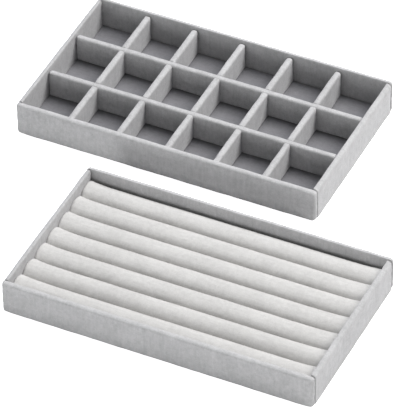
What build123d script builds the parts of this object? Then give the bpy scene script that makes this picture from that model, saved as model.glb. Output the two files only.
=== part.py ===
from build123d import *
import os

os.makedirs("parts", exist_ok=True)

# A set of two matching velvet jewelry trays that stand side by side on a table.
# The near tray holds rolls that grip rings, the far tray is divided into compartments.
# Millimetres. X runs along the long walls, Y runs from the front to the back, Z is up.
# The origin is on the table, in the middle of the footprint of the whole set.

# One tray case, the same for both trays
tray_length = 280.0
tray_width = 162.0
tray_height = 31.5
wall_board = 3.4
base_board = 2.2
velvet = 0.8
floor_velvet = 0.6
underside_liner = 0.6
rim_radius = 2.2
rim_corner_radius = 3.0

# Lattice of dividers in the far tray
cross_dividers = 5
long_dividers = 2
divider_board = 4.0
divider_drop = 2.4
divider_top_radius = 2.4
divider_corner_radius = 3.2
end_cell_extra = 2.2

# Ring rolls in the near tray
ring_rolls = 7
roll_drop = 8.8
roll_velvet = 0.8
roll_end_radius = 1.5
roll_front_slack = 1.9

# Clearances between pieces that seat against each other
seat_gap = 0.1
slot_gap = 0.1
roll_gap = 0.2

# Where the far tray stands, measured from the near one
far_tray_shift_x = -92.0
far_tray_shift_y = 206.0

# Levels and lengths that follow
wall = wall_board + 2 * velvet
divider = divider_board + 2 * velvet
inner_length = tray_length - 2 * wall
inner_width = tray_width - 2 * wall
base_top = underside_liner + base_board
floor_top = base_top + floor_velvet
divider_height = tray_height - divider_drop - floor_top
roll_height = tray_height - roll_drop - floor_top
roll_pitch = (inner_width - roll_front_slack) / ring_rolls
roll_width = roll_pitch - roll_gap
roll_length = inner_length - 2 * roll_gap
cross_pitch = (inner_length + divider - 2 * end_cell_extra) / (cross_dividers + 1)
long_pitch = (inner_width + divider) / (long_dividers + 1)

ring_tray_center = (-far_tray_shift_x / 2, -far_tray_shift_y / 2)
grid_tray_center = (far_tray_shift_x / 2, far_tray_shift_y / 2)


def save(piece, label):
    """Name one finished piece and write it as a node of its own."""
    piece.label = label
    export_step(piece, f"parts/{label}.step")


def along_x(center, y, z):
    """Plane on which a panel that runs along X is drawn in elevation."""
    return Plane(origin=(center[0], center[1] + y, z), x_dir=(1, 0, 0), z_dir=(0, -1, 0))


def along_y(center, x, z):
    """Plane on which a panel that runs along Y is drawn in elevation."""
    return Plane(origin=(center[0] + x, center[1], z), x_dir=(0, 1, 0), z_dir=(1, 0, 0))


def panel(plane, length, height, thickness, edge_radius, corner_radius):
    """Upright panel, square at the foot, rounded at the rim and round both ends."""
    with BuildPart() as body:
        with BuildSketch(plane) as elevation:
            Rectangle(length, height, align=(Align.CENTER, Align.MIN))
            if corner_radius > 0:
                fillet(elevation.vertices().group_by(Axis.Y)[-1], corner_radius)
        extrude(amount=thickness / 2, both=True)
        across = Axis(plane.origin, plane.z_dir)
        outlines = body.faces().sort_by(across)[0].edges() + body.faces().sort_by(across)[-1].edges()
        foot = body.edges().group_by(Axis.Z)[0]
        fillet([edge for edge in outlines if edge not in foot], edge_radius)
    return body.part


def slots(plane, centers, width, low, high):
    """Upright slots through a panel, one for each panel that crosses it."""
    with BuildPart() as cutters:
        with BuildSketch(plane):
            with Locations(*[(x, low) for x in centers]):
                Rectangle(width, high - low, align=(Align.CENTER, Align.MIN))
        extrude(amount=tray_width, both=True)
    return cutters.part


def wrapped_panel(name, plane, length, height, board, edge_radius, corner_radius, cutters=None):
    """A board and the velvet drawn over its faces, its rim and its ends."""
    board_corner = max(corner_radius - velvet, 0)
    with BuildPart() as core:
        add(panel(plane, length - 2 * velvet, height - velvet, board, edge_radius - velvet, board_corner))
        if cutters:
            add(cutters, mode=Mode.SUBTRACT)
    save(core.part, f"{name}_board")

    with BuildPart() as cover:
        add(panel(plane, length, height, board + 2 * velvet, edge_radius, corner_radius))
        add(
            panel(plane, length - 2 * velvet, height - velvet, board, edge_radius - velvet, board_corner),
            mode=Mode.SUBTRACT,
        )
        if cutters:
            add(cutters, mode=Mode.SUBTRACT)
    save(cover.part, f"{name}_velvet")


def sheet(name, center, z, length, width, thickness):
    """Flat rectangular sheet, centred in its tray."""
    with BuildPart() as flat:
        with BuildSketch(Plane(origin=(center[0], center[1], z))):
            Rectangle(length, width)
        extrude(amount=thickness)
    save(flat.part, name)


def tray_case(tray, center):
    """Base, liners and four wrapped walls. The long walls overlap the ends of the short ones."""
    sheet(
        f"{tray}_underside_liner", center, 0,
        inner_length - 2 * seat_gap, inner_width - 2 * seat_gap, underside_liner,
    )
    sheet(
        f"{tray}_base_board", center, underside_liner,
        inner_length - 2 * seat_gap, inner_width - 2 * seat_gap, base_board,
    )
    sheet(
        f"{tray}_floor_velvet", center, base_top,
        inner_length - 2 * seat_gap, inner_width - 2 * seat_gap, floor_velvet,
    )
    for side, y in (("front", -1), ("back", 1)):
        wrapped_panel(
            f"{tray}_{side}_wall", along_x(center, y * (tray_width - wall) / 2, 0),
            tray_length, tray_height, wall_board, rim_radius, rim_corner_radius,
        )
    for side, x in (("left", -1), ("right", 1)):
        wrapped_panel(
            f"{tray}_{side}_wall", along_y(center, x * (tray_length - wall) / 2, 0),
            inner_width - 2 * seat_gap, tray_height, wall_board, rim_radius, 0,
        )


def lattice(center):
    """Dividers that cross in halving joints, slotted to half their height each."""
    cross_x = [(i - (cross_dividers - 1) / 2) * cross_pitch for i in range(cross_dividers)]
    long_y = [(i - (long_dividers - 1) / 2) * long_pitch for i in range(long_dividers)]
    slot_width = divider + 2 * slot_gap
    middle = divider_height / 2

    for number, x in enumerate(cross_x, start=1):
        plane = along_y(center, x, floor_top)
        upper_slots = slots(plane, long_y, slot_width, middle - slot_gap, divider_height + tray_height)
        wrapped_panel(
            f"grid_cross_divider_{number}", plane, inner_width - 2 * seat_gap, divider_height,
            divider_board, divider_top_radius, divider_corner_radius, upper_slots,
        )
    for number, y in enumerate(long_y, start=1):
        plane = along_x(center, y, floor_top)
        lower_slots = slots(plane, cross_x, slot_width, -tray_height, middle + slot_gap)
        wrapped_panel(
            f"grid_long_divider_{number}", plane, inner_length - 2 * seat_gap, divider_height,
            divider_board, divider_top_radius, divider_corner_radius, lower_slots,
        )


def roll_form(plane, length, width, height, end_radius):
    """Bolster with upright sides, a half-round top and ends that are drawn in."""
    with BuildPart() as form:
        with BuildSketch(plane):
            with BuildLine():
                shoulder = height - width / 2
                Polyline((-width / 2, shoulder), (-width / 2, 0), (width / 2, 0), (width / 2, shoulder))
                ThreePointArc((width / 2, shoulder), (0, height), (-width / 2, shoulder))
            make_face()
        extrude(amount=length / 2, both=True)
        ends = form.faces().filter_by(Axis.X)
        foot = form.edges().group_by(Axis.Z)[0]
        fillet([edge for edge in ends.edges() if edge not in foot], end_radius)
    return form.part


def ring_roll(number, center, y):
    """Foam bolster on the tray's floor and the velvet drawn over it down to the floor."""
    plane = along_y((center[0], center[1] + y), 0, floor_top)
    core_size = (
        roll_length - 2 * roll_velvet, roll_width - 2 * roll_velvet,
        roll_height - roll_velvet, roll_end_radius - roll_velvet,
    )
    with BuildPart() as foam:
        add(roll_form(plane, *core_size))
    save(foam.part, f"ring_roll_{number}_foam")

    with BuildPart() as sleeve:
        add(roll_form(plane, roll_length, roll_width, roll_height, roll_end_radius))
        add(roll_form(plane, *core_size), mode=Mode.SUBTRACT)
    save(sleeve.part, f"ring_roll_{number}_velvet")


tray_case("ring", ring_tray_center)
back_roll_y = inner_width / 2 - roll_pitch / 2
for number in range(1, ring_rolls + 1):
    ring_roll(number, ring_tray_center, back_roll_y - (ring_rolls - number) * roll_pitch)

tray_case("grid", grid_tray_center)
lattice(grid_tray_center)
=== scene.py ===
# %% [markdown]
# # Two velvet jewelry trays
#
# One tray holds seven padded rolls that grip rings, the other is divided into eighteen compartments.
# This script dresses the measured model with soft velvet skins, lights it and places the camera.
# Each step below builds one kind of piece and prints what it made.

# %% Load the frame
import bpy
import bmesh
import math
from mathutils import Matrix, Vector, noise


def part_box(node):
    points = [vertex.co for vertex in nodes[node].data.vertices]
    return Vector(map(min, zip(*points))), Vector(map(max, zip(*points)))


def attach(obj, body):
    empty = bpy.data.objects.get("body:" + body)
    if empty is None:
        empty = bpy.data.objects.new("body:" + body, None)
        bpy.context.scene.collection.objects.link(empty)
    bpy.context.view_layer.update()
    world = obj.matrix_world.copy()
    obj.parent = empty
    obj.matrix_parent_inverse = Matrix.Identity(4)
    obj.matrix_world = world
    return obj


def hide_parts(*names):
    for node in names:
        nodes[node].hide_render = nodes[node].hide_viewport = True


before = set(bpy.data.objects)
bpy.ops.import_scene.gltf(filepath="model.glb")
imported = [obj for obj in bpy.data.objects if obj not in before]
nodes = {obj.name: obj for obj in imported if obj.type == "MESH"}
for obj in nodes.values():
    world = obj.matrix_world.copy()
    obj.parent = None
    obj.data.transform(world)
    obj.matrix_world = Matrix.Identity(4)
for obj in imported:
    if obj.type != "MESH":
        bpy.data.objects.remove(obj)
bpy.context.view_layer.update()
MM = 0.001
print("nodes in the frame:", len(nodes))

# %% [markdown]
# ## A shader group for velvet
#
# A node group is a recipe that many materials can share. Velvet is a forest of short fibres, so the
# group mixes four kinds of noise: single tufts, clumps that the cutter left, broad strokes where a
# hand has brushed the nap, and fine streaks that run the way the nap lies. On top of this the group
# paints a highlight along the rims. The pieces store a value at each of their points, largest at
# their top edge, and the colour is made paler by it.
#
# A photographed cloth texture could do this too, but it would need an unwrapped surface and would
# repeat. Noise in the object's own space has no seams, and one group serves every colour of velvet.
# The group gives out a colour and a height, and each material feeds them to its own shader.

# %% Build the velvet group
# A value at each point of a piece, largest at its top edge, which paints the velvet paler there as a painted
# highlight on the rims.
HIGHLIGHT_ATTRIBUTE = "painted_highlight"
TUFT_WEIGHT, CLUMP_WEIGHT, STROKE_WEIGHT, STREAK_WEIGHT = 0.50, 0.34, 0.22, 0.20


def build_velvet_group():
    group = bpy.data.node_groups.new("velvet_pile", "ShaderNodeTree")
    face = group.interface
    face.new_socket("Base", in_out="INPUT", socket_type="NodeSocketColor")
    face.new_socket("Tuft Scale", in_out="INPUT", socket_type="NodeSocketFloat").default_value = 1500.0
    face.new_socket("Clump Scale", in_out="INPUT", socket_type="NodeSocketFloat").default_value = 260.0
    face.new_socket("Stroke Scale", in_out="INPUT", socket_type="NodeSocketFloat").default_value = 38.0
    face.new_socket("Streak Scale", in_out="INPUT", socket_type="NodeSocketFloat").default_value = 520.0
    face.new_socket("Nap", in_out="INPUT", socket_type="NodeSocketVector").default_value = (1.0, 1.0, 0.12)
    face.new_socket("Contrast", in_out="INPUT", socket_type="NodeSocketFloat").default_value = 1.0
    face.new_socket("Painted Highlight", in_out="INPUT", socket_type="NodeSocketFloat").default_value = 0.0
    face.new_socket("Color", in_out="OUTPUT", socket_type="NodeSocketColor")
    face.new_socket("Height", in_out="OUTPUT", socket_type="NodeSocketFloat")
    make, link = group.nodes.new, group.links.new
    source = make("NodeGroupInput")
    result = make("NodeGroupOutput")
    place = make("ShaderNodeTexCoord")

    brushed = make("ShaderNodeVectorMath")
    brushed.operation = "MULTIPLY"
    link(place.outputs["Object"], brushed.inputs[0])
    link(source.outputs["Nap"], brushed.inputs[1])

    def centred_noise(scale_name, detail, weight, space=place.outputs["Object"]):
        """Noise between minus and plus half its weight."""
        pattern = make("ShaderNodeTexNoise")
        pattern.inputs["Detail"].default_value = detail
        pattern.inputs["Roughness"].default_value = 0.6
        link(space, pattern.inputs["Vector"])
        link(source.outputs[scale_name], pattern.inputs["Scale"])
        shift = make("ShaderNodeMath")
        shift.operation = "SUBTRACT"
        shift.inputs[1].default_value = 0.5
        link(pattern.outputs["Fac"], shift.inputs[0])
        scaled = make("ShaderNodeMath")
        scaled.operation = "MULTIPLY"
        scaled.inputs[1].default_value = weight
        link(shift.outputs[0], scaled.inputs[0])
        return scaled.outputs[0]

    def combine(operation, first, second):
        step = make("ShaderNodeMath")
        step.operation = operation
        link(first, step.inputs[0])
        if isinstance(second, float):
            step.inputs[1].default_value = second
        else:
            link(second, step.inputs[1])
        return step.outputs[0]

    tufts = centred_noise("Tuft Scale", 3.0, TUFT_WEIGHT)
    clumps = centred_noise("Clump Scale", 4.0, CLUMP_WEIGHT)
    strokes = centred_noise("Stroke Scale", 2.0, STROKE_WEIGHT)
    streaks = centred_noise("Streak Scale", 2.0, STREAK_WEIGHT, brushed.outputs[0])
    height = combine("ADD", tufts, clumps)
    pattern = combine("ADD", combine("ADD", height, strokes), streaks)
    shade = combine("MULTIPLY", pattern, source.outputs["Contrast"])
    # Painted highlight: the stored value makes the colour paler towards the top edges.
    painted_highlight = make("ShaderNodeAttribute")
    painted_highlight.attribute_name = HIGHLIGHT_ATTRIBUTE
    pale = combine("MULTIPLY", painted_highlight.outputs["Fac"], source.outputs["Painted Highlight"])
    brightness = combine("ADD", combine("ADD", shade, pale), 1.0)
    tint = make("ShaderNodeVectorMath")
    tint.operation = "SCALE"
    link(source.outputs["Base"], tint.inputs[0])
    link(brightness, tint.inputs["Scale"])
    link(tint.outputs[0], result.inputs["Color"])
    link(height, result.inputs["Height"])
    return group


velvet_group = build_velvet_group()
print("velvet group nodes:", len(velvet_group.nodes))

# %% [markdown]
# ## Materials
#
# Walls and dividers wear grey velvet, the rolls a paler one and the floors a thinner, darker one. Plain
# paint would do from afar, and hair strands would be truest close up, but they would be millions. So
# every fabric is a Principled shader with the velvet group and some sheen, the pale glow that velvet has
# where the eye meets it at a flat angle. Boards, foam and felt are hidden in use and have no sheen or
# little. The nap is a squeeze of the streaks: a small number draws them out along that axis.

# %% Make the materials
LOOK = "_look"
NAP_SQUEEZE = 0.12
ALONG_X, UPRIGHT = (NAP_SQUEEZE, 1.0, 1.0), (1.0, 1.0, NAP_SQUEEZE)


def fabric(
    name, base, contrast=1.0, sheen=0.35, tuft=1500.0, clump=260.0, depth=0.35, nap=UPRIGHT, painted_highlight=0.0
):
    material = bpy.data.materials.new(name + LOOK)
    material.use_nodes = True
    tree = material.node_tree
    shader = tree.nodes["Principled BSDF"]
    pile = tree.nodes.new("ShaderNodeGroup")
    pile.node_tree = velvet_group
    pile.inputs["Base"].default_value = (*base, 1.0)
    pile.inputs["Tuft Scale"].default_value = tuft
    pile.inputs["Clump Scale"].default_value = clump
    pile.inputs["Contrast"].default_value = contrast
    pile.inputs["Nap"].default_value = nap
    pile.inputs["Painted Highlight"].default_value = painted_highlight
    bump = tree.nodes.new("ShaderNodeBump")
    bump.inputs["Strength"].default_value = 0.6
    bump.inputs["Distance"].default_value = depth * MM
    tree.links.new(pile.outputs["Height"], bump.inputs["Height"])
    tree.links.new(pile.outputs["Color"], shader.inputs["Base Color"])
    tree.links.new(bump.outputs["Normal"], shader.inputs["Normal"])
    shader.inputs["Roughness"].default_value = 0.95
    shader.inputs["Specular IOR Level"].default_value = 0.08
    shader.inputs["Sheen Weight"].default_value = sheen
    shader.inputs["Sheen Roughness"].default_value = 0.45
    shader.inputs["Sheen Tint"].default_value = (0.95, 0.95, 1.0, 1.0)
    return material


# Walls and dividers get a painted highlight along their top edges, the walls a stronger one.
case_velvet = fabric("case_velvet", (0.44, 0.438, 0.44), contrast=1.3, painted_highlight=0.13)
divider_velvet = fabric("divider_velvet", (0.44, 0.438, 0.44), contrast=1.4, sheen=0.4, painted_highlight=0.05)
roll_velvet = fabric("roll_velvet", (0.552, 0.544, 0.531), contrast=0.9, sheen=0.1, nap=ALONG_X)
floor_velvet = fabric("floor_velvet", (0.21, 0.208, 0.218), contrast=1.0, sheen=0.2, clump=420.0, nap=ALONG_X)
felt = fabric("underside_felt", (0.16, 0.16, 0.17), contrast=1.3, sheen=0.15, tuft=2600.0)
foam = fabric("foam", (0.72, 0.71, 0.68), contrast=0.8, sheen=0.0, tuft=900.0, depth=0.6)
greyboard = fabric("greyboard", (0.27, 0.255, 0.23), contrast=0.9, sheen=0.0, tuft=3200.0, depth=0.1)
print("materials:", [material.name for material in bpy.data.materials if material.name.endswith(LOOK)])

# %% [markdown]
# ## Dress the measured pieces
#
# The base board of each tray is flat, stiff and cut square. Its measured solid is right as it is, so a
# material is all that it needs. Every other node is replaced further down by a softer piece of its own,
# and receives its material here too. Materials could be set node by node, but the names follow a rule,
# so one function reads them and dresses both trays alike.

# %% Assign materials to the nodes
def finish_for(name):
    if name.endswith("_board"):
        return greyboard
    if name.endswith("_foam"):
        return foam
    if name.endswith("_liner"):
        return felt
    if name.endswith("floor_velvet"):
        return floor_velvet
    if "roll" in name:
        return roll_velvet
    return divider_velvet if "divider" in name else case_velvet


for name, node in nodes.items():
    node.data.materials.clear()
    node.data.materials.append(finish_for(name))
print("dressed", len(nodes), "nodes")

# %% [markdown]
# ## Velvet drawn over boards
#
# A wrapped board is a box whose edges are rounded by the cloth. The box is cut into a grid, with cuts
# close together near the edges. Each grid point is pulled onto an oval that is rolled along the inner
# core, which rounds edges and corners alike. Each of the six sides has a bend of its own, because cloth
# turns softly over a rim and sharply where two boards meet. A little noise then makes the face soft,
# and short pleats gather the cloth at both ends, where it is folded round the board.

# %% Functions for wrapped boards
BEND_CUTS = 5
CLOTH_SOFTNESS = 0.26 * MM
GATHER_DEPTH = 0.3 * MM
GATHER_REACH = 7 * MM
GATHER_SPACING = 3.1 * MM
GRID_STEP = 2.5 * MM
GATHER_WANDER = 5
GATHER_NOISE = 90
# How far down from the top edge the painted highlight fades.
HIGHLIGHT_REACH = 2.2 * MM
FOOT_CORNER_REACH = 3 * MM
SLOW_NOISE, QUICK_NOISE = 70, 210
QUICK_SHARE = 0.5
SOFT_SINK = 0.6


def stations(low, high, bends):
    """Where the grid cuts one side: at even angles through both bends, evenly between them."""
    turns = [1 - math.tan(math.pi / 4 * (1 - i / BEND_CUTS)) for i in range(BEND_CUTS)]
    straight = high - low - sum(bends)
    count = max(1, round(straight / GRID_STEP))
    middle = [low + bends[0] + straight * i / count for i in range(count + 1)]
    return [low + bends[0] * t for t in turns] + middle + [high - bends[1] * t for t in reversed(turns)]


def add_wrapped_box(
    mesh, low, high, bends, along, softness=CLOTH_SOFTNESS, gathers=GATHER_DEPTH, foot_corner=0.0, highlight_share=1.0
):
    """Adds one rounded, slightly soft box to a bmesh. bends has a low and a high bend for X, Y and Z.

    along is the axis that the box runs along. foot_corner is how much larger the bend at the foot
    becomes at both ends, and rub is how much of the painted highlight at the upper edge this box has.
    """
    # The layer that holds the painted highlight.
    painted_highlight = mesh.verts.layers.float.get(HIGHLIGHT_ATTRIBUTE) or mesh.verts.layers.float.new(HIGHLIGHT_ATTRIBUTE)
    cuts = [stations(low[a], high[a], bends[a]) for a in range(3)]
    points = {}

    def point(i, j, k):
        if (i, j, k) not in points:
            corner = Vector((cuts[0][i], cuts[1][j], cuts[2][k]))
            to_end = min(corner[along] - low[along], high[along] - corner[along])
            low_bends = Vector([bend[0] for bend in bends])
            low_bends.z += foot_corner * math.exp(-to_end / FOOT_CORNER_REACH)
            core = Vector([
                min(max(corner[a], low[a] + low_bends[a]), high[a] - bends[a][1]) for a in range(3)
            ])
            oval = Vector([bends[a][1] if corner[a] > core[a] else low_bends[a] for a in range(3)])
            outward = Vector([(corner[a] - core[a]) / oval[a] for a in range(3)]).normalized()
            wander = GATHER_WANDER * noise.noise(corner * GATHER_NOISE)
            pleats = math.sin(2 * math.pi * corner.z / GATHER_SPACING + wander)
            gather = gathers * math.exp(-to_end / GATHER_REACH) * (pleats - 1) / 2
            slow, quick = noise.noise(corner * SLOW_NOISE), noise.noise(corner * QUICK_NOISE)
            soft = softness * (slow + QUICK_SHARE * quick - SOFT_SINK)
            points[i, j, k] = mesh.verts.new(core + outward * oval + outward * (soft + gather))
            # Painted highlight: largest at the top edge, fading downwards.
            points[i, j, k][painted_highlight] = highlight_share * math.exp((corner.z - high.z) / HIGHLIGHT_REACH)
        return points[i, j, k]

    for axis in range(3):
        first, second = [a for a in range(3) if a != axis]
        for side in (0, len(cuts[axis]) - 1):
            for i in range(len(cuts[first]) - 1):
                for j in range(len(cuts[second]) - 1):
                    ring = []
                    for di, dj in ((0, 0), (1, 0), (1, 1), (0, 1)):
                        index = [0, 0, 0]
                        index[axis] = side
                        index[first] = i + di
                        index[second] = j + dj
                        ring.append(point(*index))
                    mesh.faces.new(ring)


def cloth_object(name, mesh, material, body, replaced):
    """Turns a bmesh into a smooth piece that rides on its body and stands for its CAD nodes."""
    bmesh.ops.recalc_face_normals(mesh, faces=mesh.faces)
    data = bpy.data.meshes.new(name)
    mesh.to_mesh(data)
    mesh.free()
    data.polygons.foreach_set("use_smooth", [True] * len(data.polygons))
    data.materials.append(material)
    piece = bpy.data.objects.new(name, data)
    bpy.context.scene.collection.objects.link(piece)
    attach(piece, body)
    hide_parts(replaced)
    return piece


# %% [markdown]
# ## The walls
#
# Four wrapped boards make each tray. The long walls run past the ends of the short ones, so a seam
# shows on the side near each corner. A bevelled cube would give every edge the same bend, so each wall
# is a wrapped box. The board inside is made the same way, a cloth's thickness smaller, so that its
# corners never prick through the velvet. The rims of the long walls get the full painted highlight, and
# the short walls only a fifth of it.

# %% Wrap the walls
OUTER_BEND = 3.3 * MM
INNER_BEND = 0.9 * MM
RIM_BEND = 3.0 * MM
FOOT_BEND = 1.0 * MM
FOOT_CORNER = 2.0 * MM
LONG_WALL_END = 3.0 * MM
SHORT_WALL_END = 1.3 * MM
# The short walls get a fifth of the painted highlight that the long walls get.
SHORT_WALL_HIGHLIGHT = 0.2
BOARD_BEND_LOSS = 0.8 * MM
SMALLEST_BEND = 0.2 * MM
BOARD_LIFT = 0.7 * MM


def board_bends(bends):
    """The bends of a board under a cover that has these bends."""
    return [tuple(max(bend - BOARD_BEND_LOSS, SMALLEST_BEND) for bend in pair) for pair in bends]


for tray in ("ring", "grid"):
    for side in ("front", "back", "left", "right"):
        wall = f"{tray}_{side}_wall"
        is_long = side in ("front", "back")
        across = (OUTER_BEND, INNER_BEND) if side in ("front", "left") else (INNER_BEND, OUTER_BEND)
        ends = (LONG_WALL_END, LONG_WALL_END) if is_long else (SHORT_WALL_END, SHORT_WALL_END)
        upright = (FOOT_BEND, RIM_BEND)
        bends = (ends, across, upright) if is_long else (across, ends, upright)
        along = 0 if is_long else 1
        corner = FOOT_CORNER if is_long else 0.0
        cover = bmesh.new()
        low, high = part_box(wall + "_velvet")
        # How much painted highlight this wall gets on its rim.
        highlight_share = 1.0 if is_long else SHORT_WALL_HIGHLIGHT
        add_wrapped_box(cover, low, high, bends, along, foot_corner=corner, highlight_share=highlight_share)
        cloth_object(wall + "_cover", cover, case_velvet, f"{tray}_tray", wall + "_velvet")
        board = bmesh.new()
        low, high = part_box(wall + "_board")
        low.z += BOARD_LIFT
        add_wrapped_box(
            board, low, high, board_bends(bends), along, softness=0.0, gathers=0.0, foot_corner=corner
        )
        cloth_object(wall + "_inner_board", board, greyboard, f"{tray}_tray", wall + "_board")
print("wrapped 8 walls, each with its board")

# %% [markdown]
# ## The dividers
#
# A long divider is one wrapped board. Where it crosses, it covers the notch of the cross divider, whose
# cloth is tucked in on both sides. So a cross divider shows as three soft stretches. The cloth is
# slack, so it swells a little past the measured thickness. A boolean union could join the seven, but it
# would weld them with sharp creases. Stretches that end in bends of their own, a little inside the long
# divider, give each crossing the tucked look of sewn cloth. The boards stop short of those ends.

# %% Wrap the dividers
DIVIDER_SIDE = 2.3 * MM
DIVIDER_TOP = 2.6 * MM
DIVIDER_SWELL = 0.3 * MM
DIVIDER_FOOT = 1.6 * MM
DIVIDER_END = 2.4 * MM
CROSSING_END = 1.6 * MM
TUCK = 1.2 * MM
BOARD_END_GAP = 1.5 * MM


def wrapped_names(word):
    """The names, without their endings, of the velvet-covered nodes whose name has this word."""
    return sorted(name.removesuffix("_velvet") for name in nodes if word in name and name.endswith("_velvet"))


dividers = wrapped_names("divider")
long_dividers = [name for name in dividers if "long" in name]
crossings = [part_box(name + "_velvet") for name in long_dividers]
upright = (DIVIDER_FOOT, DIVIDER_TOP)
for divider in dividers:
    along = 0 if divider in long_dividers else 1
    thin = 1 - along
    low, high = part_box(divider + "_velvet")
    board_low, board_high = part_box(divider + "_board")
    starts, ends = [low[along]], [high[along]]
    if along == 1:
        starts += [far.y - TUCK for near, far in crossings]
        ends = [near.y + TUCK for near, far in crossings] + ends
    cover, board = bmesh.new(), bmesh.new()
    for start, end in zip(starts, ends):
        first_end = DIVIDER_END if start == low[along] else CROSSING_END
        last_end = DIVIDER_END if end == high[along] else CROSSING_END
        bends = [None, None, upright]
        bends[along] = (first_end, last_end)
        bends[thin] = (DIVIDER_SIDE, DIVIDER_SIDE)
        near, far = low.copy(), high.copy()
        near[along], far[along] = start, end
        near[thin] -= DIVIDER_SWELL
        far[thin] += DIVIDER_SWELL
        add_wrapped_box(cover, near, far, bends, along)
        near, far = board_low.copy(), board_high.copy()
        near[along], far[along] = start + BOARD_END_GAP, end - BOARD_END_GAP
        near.z += BOARD_LIFT
        add_wrapped_box(board, near, far, board_bends(bends), along, softness=0.0, gathers=0.0)
    cloth_object(divider + "_cover", cover, divider_velvet, "grid_tray", divider + "_velvet")
    cloth_object(divider + "_inner_board", board, greyboard, "grid_tray", divider + "_board")
print("wrapped", len(dividers), "dividers, each with its board")

# %% [markdown]
# ## The linings
#
# A thinner, darker velvet is glued flat inside each tray, and felt covers the underside. A flat plane
# with Solidify would do, but the wrapped box already gives the same sheet with soft cut edges. Its
# noise is kept faint, because glued cloth barely lifts.

# %% Lay the linings
LINING_EDGE = 0.25 * MM
LINING_SOFTNESS = 0.1 * MM

for tray in ("ring", "grid"):
    for part, material in (("floor_velvet", floor_velvet), ("underside_liner", felt)):
        node = f"{tray}_{part}"
        low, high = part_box(node)
        shape = bmesh.new()
        edges = [(LINING_EDGE, LINING_EDGE)] * 3
        add_wrapped_box(shape, low, high, edges, 0, softness=LINING_SOFTNESS, gathers=0.0)
        lining = cloth_object(f"{tray}_{part}_sheet", shape, material, f"{tray}_tray", node)

# %% [markdown]
# ## The ring rolls, with Geometry Nodes
#
# A ring is pushed between two padded rolls, which grip it. A roll follows a rule, so a node tree draws
# it. It starts as a flat grid. One side of the grid becomes the way along the roll, the other the way
# round it. The section has upright sides and an arched top, a little lower than a half circle, because
# tight neighbours push the velvet up between them. Both ends are drawn in and close in a dome, and noise
# and end pleats make the velvet soft. A sculpted mesh could look the same, but the tree keeps each
# measure as a named input, so seven rolls differ only in their place and seed.

# %% Name the measures of the roll tree
ROWS_ALONG, ROWS_AROUND = 190, 49
DOME_POWER = 3.0
FOOT_SQUARENESS = 0.8
FOOT_STEEPNESS = 1.6
WELD_DISTANCE = 0.02 * MM
RIPPLE_SCALE = 42.0
RIPPLE_LEVEL = 0.62
PLEATS_AROUND = 13.0
PLEAT_WANDER = 14.0
PLEAT_REACH = 6 * MM
DRAWN_IN_REACH = 10 * MM
print("a roll is drawn on a grid of", ROWS_ALONG, "by", ROWS_AROUND, "points")


# %% Build the roll tree
class NodeMath:
    """Writes sums as nodes, so that the tree below reads like the formula that it holds."""

    def __init__(self, tree):
        self.tree = tree

    def do(self, operation, *values):
        step = self.tree.nodes.new("ShaderNodeMath")
        step.operation = operation
        for slot, value in zip(step.inputs, values):
            if isinstance(value, (int, float)):
                slot.default_value = value
            else:
                self.tree.links.new(value, slot)
        return step.outputs[0]

    def add(self, a, b):
        return self.do("ADD", a, b)

    def take(self, a, b):
        return self.do("SUBTRACT", a, b)

    def times(self, a, b):
        return self.do("MULTIPLY", a, b)


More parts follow.
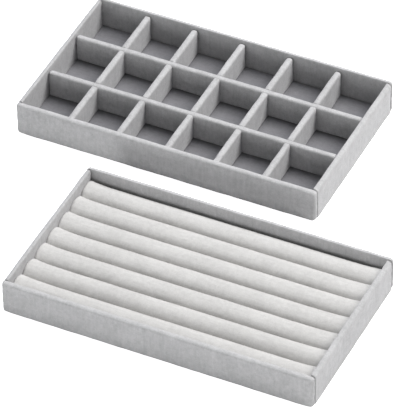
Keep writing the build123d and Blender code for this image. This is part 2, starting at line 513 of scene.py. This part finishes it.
def build_roll_tree():
    tree = bpy.data.node_groups.new("ring_roll", "GeometryNodeTree")
    face = tree.interface
    for title in ("Length", "Width", "Height", "Arch", "Dome", "Taper", "Softness", "Pleats", "Seed"):
        face.new_socket(title, in_out="INPUT", socket_type="NodeSocketFloat")
    face.new_socket("Foot", in_out="INPUT", socket_type="NodeSocketVector")
    face.new_socket("Material", in_out="INPUT", socket_type="NodeSocketMaterial")
    face.new_socket("Geometry", in_out="OUTPUT", socket_type="NodeSocketGeometry")
    make, link = tree.nodes.new, tree.links.new
    source = make("NodeGroupInput").outputs
    calc = NodeMath(tree)

    grid = make("GeometryNodeMeshGrid")
    grid.inputs["Size X"].default_value = 1.0
    grid.inputs["Size Y"].default_value = 1.0
    grid.inputs["Vertices X"].default_value = ROWS_ALONG
    grid.inputs["Vertices Y"].default_value = ROWS_AROUND
    split = make("ShaderNodeSeparateXYZ")
    link(make("GeometryNodeInputPosition").outputs[0], split.inputs[0])

    # Along: a sine packs the rows of the grid close together towards both ends
    share = calc.do("SINE", calc.times(split.outputs["X"], math.pi))
    along = calc.times(calc.times(share, 0.5), source["Length"])
    to_end = calc.take(calc.times(source["Length"], 0.5), calc.do("ABSOLUTE", along))
    into_dome = calc.do("MAXIMUM", calc.take(1.0, calc.do("DIVIDE", to_end, source["Dome"])), 0.0)
    open_part = calc.do("MAXIMUM", calc.take(1.0, calc.do("POWER", into_dome, DOME_POWER)), 0.0)
    swell = calc.do("POWER", open_part, 1 / DOME_POWER)

    # Around: a turn that starts and ends under the roll
    turn = calc.add(calc.times(split.outputs["Y"], 2 * math.pi), math.pi / 2)
    cosine, sine = calc.do("COSINE", turn), calc.do("SINE", turn)
    upper, lower = calc.do("MAXIMUM", sine, 0.0), calc.do("MINIMUM", sine, 0.0)
    radius = calc.times(source["Width"], 0.5)
    shoulder = calc.take(source["Height"], source["Arch"])
    square = calc.add(1.0, calc.times(lower, -FOOT_SQUARENESS))
    widened = calc.do("MINIMUM", calc.do("MAXIMUM", calc.times(cosine, square), -1.0), 1.0)
    across = calc.times(calc.times(widened, radius), swell)
    drop = calc.do("MAXIMUM", calc.add(1.0, calc.times(lower, FOOT_STEEPNESS)), 0.0)
    raised = calc.times(calc.add(calc.times(shoulder, drop), calc.times(upper, source["Arch"])), swell)

    shaped = make("ShaderNodeCombineXYZ")
    link(along, shaped.inputs["X"])
    link(across, shaped.inputs["Y"])
    link(raised, shaped.inputs["Z"])
    form = make("GeometryNodeSetPosition")
    link(grid.outputs["Mesh"], form.inputs["Geometry"])
    link(shaped.outputs[0], form.inputs["Position"])
    closed = make("GeometryNodeMergeByDistance")
    closed.inputs["Distance"].default_value = WELD_DISTANCE
    link(form.outputs[0], closed.inputs[0])

    # Softness: slow noise over the whole roll, and pleats that fade away from the ends
    moved = make("ShaderNodeVectorMath")
    moved.operation = "ADD"
    link(make("GeometryNodeInputPosition").outputs[0], moved.inputs[0])
    seed_shift = make("ShaderNodeCombineXYZ")
    link(source["Seed"], seed_shift.inputs["Y"])
    link(seed_shift.outputs[0], moved.inputs[1])
    ripple = make("ShaderNodeTexNoise")
    ripple.inputs["Scale"].default_value = RIPPLE_SCALE
    ripple.inputs["Detail"].default_value = 3.0
    link(moved.outputs[0], ripple.inputs["Vector"])
    soft = calc.times(calc.take(ripple.outputs["Fac"], RIPPLE_LEVEL), source["Softness"])

    here = make("ShaderNodeSeparateXYZ")
    link(make("GeometryNodeInputPosition").outputs[0], here.inputs[0])
    angle = calc.do("ARCTAN2", calc.take(here.outputs["Z"], shoulder), here.outputs["Y"])
    wander = calc.times(ripple.outputs["Fac"], PLEAT_WANDER)
    wave = calc.do("SINE", calc.add(calc.times(angle, PLEATS_AROUND), wander))
    end_gap = calc.take(calc.times(source["Length"], 0.5), calc.do("ABSOLUTE", here.outputs["X"]))
    fade = calc.do("EXPONENT", calc.times(end_gap, -1 / PLEAT_REACH))
    pleats = calc.times(calc.times(calc.take(wave, 1.0), fade), source["Pleats"])
    slow_fade = calc.do("EXPONENT", calc.times(end_gap, -1 / DRAWN_IN_REACH))
    drawn_in = calc.times(slow_fade, calc.times(source["Taper"], -1.0))

    push = make("ShaderNodeVectorMath")
    push.operation = "SCALE"
    link(make("GeometryNodeInputNormal").outputs[0], push.inputs[0])
    link(calc.add(calc.add(soft, pleats), drawn_in), push.inputs["Scale"])
    softened = make("GeometryNodeSetPosition")
    link(closed.outputs[0], softened.inputs["Geometry"])
    link(push.outputs[0], softened.inputs["Offset"])

    placed = make("GeometryNodeTransform")
    link(softened.outputs[0], placed.inputs["Geometry"])
    link(source["Foot"], placed.inputs["Translation"])
    smooth = make("GeometryNodeSetShadeSmooth")
    link(placed.outputs[0], smooth.inputs["Geometry"])
    real = make("GeometryNodeRealizeInstances")
    link(smooth.outputs[0], real.inputs[0])
    coloured = make("GeometryNodeSetMaterial")
    link(real.outputs[0], coloured.inputs["Geometry"])
    link(source["Material"], coloured.inputs["Material"])
    link(coloured.outputs[0], make("NodeGroupOutput").inputs["Geometry"])
    return tree


roll_tree = build_roll_tree()
print("roll tree nodes:", len(roll_tree.nodes))

# %% [markdown]
# ## Bake the rolls
#
# Seven rolls lie side by side, each a foam core in a velvet sleeve. They could share one mesh, but then
# every ripple would show seven times, so each gets a seed of its own. The modifier could stay on the
# roll, but a finished piece is a plain mesh, which can be measured and exported as it is. So a helper
# object runs the tree once, its result is kept, and the helper is removed.

# %% Make the seven rolls
def bake(tree, name, values):
    """Runs a geometry tree once and returns its result as a plain mesh."""
    helper = bpy.data.objects.new(name + "_helper", bpy.data.meshes.new(name + "_helper"))
    bpy.context.scene.collection.objects.link(helper)
    modifier = helper.modifiers.new("nodes", "NODES")
    modifier.node_group = tree
    for item in tree.interface.items_tree:
        if item.in_out == "INPUT" and item.name in values:
            modifier[item.identifier] = values[item.name]
    bpy.context.view_layer.update()
    graph = bpy.context.evaluated_depsgraph_get()
    mesh = bpy.data.meshes.new_from_object(helper.evaluated_get(graph))
    bpy.data.objects.remove(helper)
    mesh.name = name
    return mesh


ROLL_END_PRESS = 0.35 * MM
CORE_END_GAP = 1.0 * MM
CORE_LIFT = 0.8 * MM


def soft_roll(name, node, material, extra_length, lift, values):
    """One roll that fills the box of its CAD node above the lift, baked into a plain mesh."""
    low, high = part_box(node)
    low.z += lift
    size = high - low
    foot = ((low.x + high.x) / 2, (low.y + high.y) / 2, low.z)
    values = {
        "Length": size.x + extra_length, "Width": size.y, "Height": size.z,
        "Foot": foot, "Material": material, **values,
    }
    shape = bmesh.new()
    shape.from_mesh(bake(roll_tree, name, values))
    piece = cloth_object(name, shape, material, "ring_tray", node)


SLEEVE = {"Arch": 8.4 * MM, "Dome": 2.4 * MM, "Taper": 1.7 * MM, "Softness": 0.5 * MM, "Pleats": 0.2 * MM}
CORE = {"Arch": 8.0 * MM, "Dome": 1.6 * MM, "Taper": 2.0 * MM, "Softness": 0.0, "Pleats": 0.0}

for number, roll in enumerate(wrapped_names("ring_roll"), start=1):
    seed = {"Seed": float(number)}
    soft_roll(roll + "_sleeve", roll + "_velvet", roll_velvet, 2 * ROLL_END_PRESS, 0.0, SLEEVE | seed)
    soft_roll(roll + "_core", roll + "_foam", foam, -2 * CORE_END_GAP, CORE_LIFT, CORE | seed)
    print(roll, "has a sleeve and a core")

# %% [markdown]
# ## Table, light and background
#
# The trays lie on a plain pale floor. It glows for the camera alone, so it melts into a white studio
# background without lighting the trays. A large warm lamp stands on the right and a cooler one hangs
# above and behind, which leaves the faces towards the camera in gentle shade. Both are far away, so
# that they light the near and the far tray alike. A weak lamp in front, low down, lifts the outer faces
# and leaves the compartments dark. A picture of a room could light the scene in one step, but lamps can
# be placed and dimmed one by one.

# %% Build the studio
FLOOR_SIZE = 8.0
FLOOR_DROP = 0.1 * MM

floor_mesh = bpy.data.meshes.new("studio_floor")
half = FLOOR_SIZE / 2
floor_corners = [(-half, -half, 0), (half, -half, 0), (half, half, 0), (-half, half, 0)]
floor_mesh.from_pydata(floor_corners, [], [(0, 1, 2, 3)])
floor = bpy.data.objects.new("studio_floor", floor_mesh)
bpy.context.scene.collection.objects.link(floor)
floor.location.z = -FLOOR_DROP
floor_material = bpy.data.materials.new("studio_floor")
floor_material.use_nodes = True
floor_tree = floor_material.node_tree
floor_shader = floor_tree.nodes["Principled BSDF"]
floor_shader.inputs["Base Color"].default_value = (0.93, 0.93, 0.93, 1)
floor_shader.inputs["Roughness"].default_value = 0.9
floor_shader.inputs["Emission Color"].default_value = (1, 1, 1, 1)
floor_path = floor_tree.nodes.new("ShaderNodeLightPath")
floor_tree.links.new(floor_path.outputs["Is Camera Ray"], floor_shader.inputs["Emission Strength"])
floor_mesh.materials.append(floor_material)

world = bpy.data.worlds.new("studio")
bpy.context.scene.world = world
world.use_nodes = True
sky = world.node_tree.nodes["Background"]
sky.inputs["Color"].default_value = (0.98, 0.99, 1.0, 1)
sky.inputs["Strength"].default_value = 0.27


def lamp(name, place, size, power, colour):
    """A square lamp that faces the middle of the table."""
    data = bpy.data.lights.new(name, "AREA")
    data.shape = "SQUARE"
    data.size = size
    data.energy = power
    data.color = colour
    light = bpy.data.objects.new(name, data)
    light.location = place
    light.rotation_mode = "QUATERNION"
    light.rotation_quaternion = (-Vector(place)).to_track_quat("-Z", "Y")
    bpy.context.scene.collection.objects.link(light)


lamp("window_right", place=(1.65, 0.9, 2.03), size=1.2, power=47, colour=(1.0, 0.985, 0.955))
lamp("soft_top", place=(0.15, 1.13, 2.63), size=1.8, power=68, colour=(0.95, 0.96, 1.0))
lamp("low_front", place=(-0.4, -2.2, 0.3), size=0.9, power=19, colour=(0.98, 0.99, 1.0))
print("lamps:", len(bpy.data.lights))

# %% [markdown]
# ## Camera
#
# The two trays are seen from the right and from above. A near camera would fit one of them well and
# miss the other, because their edges run together at different rates in the picture. A long lens far
# back keeps edges almost parallel, so it shares the difference between both trays.

# %% Place the camera
AZIMUTH = math.radians(26.26)
ELEVATION = math.radians(41.21)
ROLL = math.radians(-1.13)
DISTANCE = 4.163
AIM = Vector((0.005, -0.014, 0.016))
LENS = 439.0
SENSOR_WIDTH = 36.0
FARTHEST_SEEN = 40.0

back = Vector((
    math.sin(AZIMUTH) * math.cos(ELEVATION), -math.cos(AZIMUTH) * math.cos(ELEVATION), math.sin(ELEVATION),
))
lens_data = bpy.data.cameras.new("camera")
lens_data.lens = LENS
lens_data.sensor_width = SENSOR_WIDTH
lens_data.clip_end = FARTHEST_SEEN
camera = bpy.data.objects.new("camera", lens_data)
bpy.context.scene.collection.objects.link(camera)
camera.matrix_world = (
    Matrix.Translation(AIM + back * DISTANCE)
    @ (-back).to_track_quat("-Z", "Y").to_matrix().to_4x4()
    @ Matrix.Rotation(ROLL, 4, "Z")
)
bpy.context.scene.camera = camera
bpy.context.scene.view_settings.view_transform = "Standard"
print("camera at", [round(value, 3) for value in camera.location])
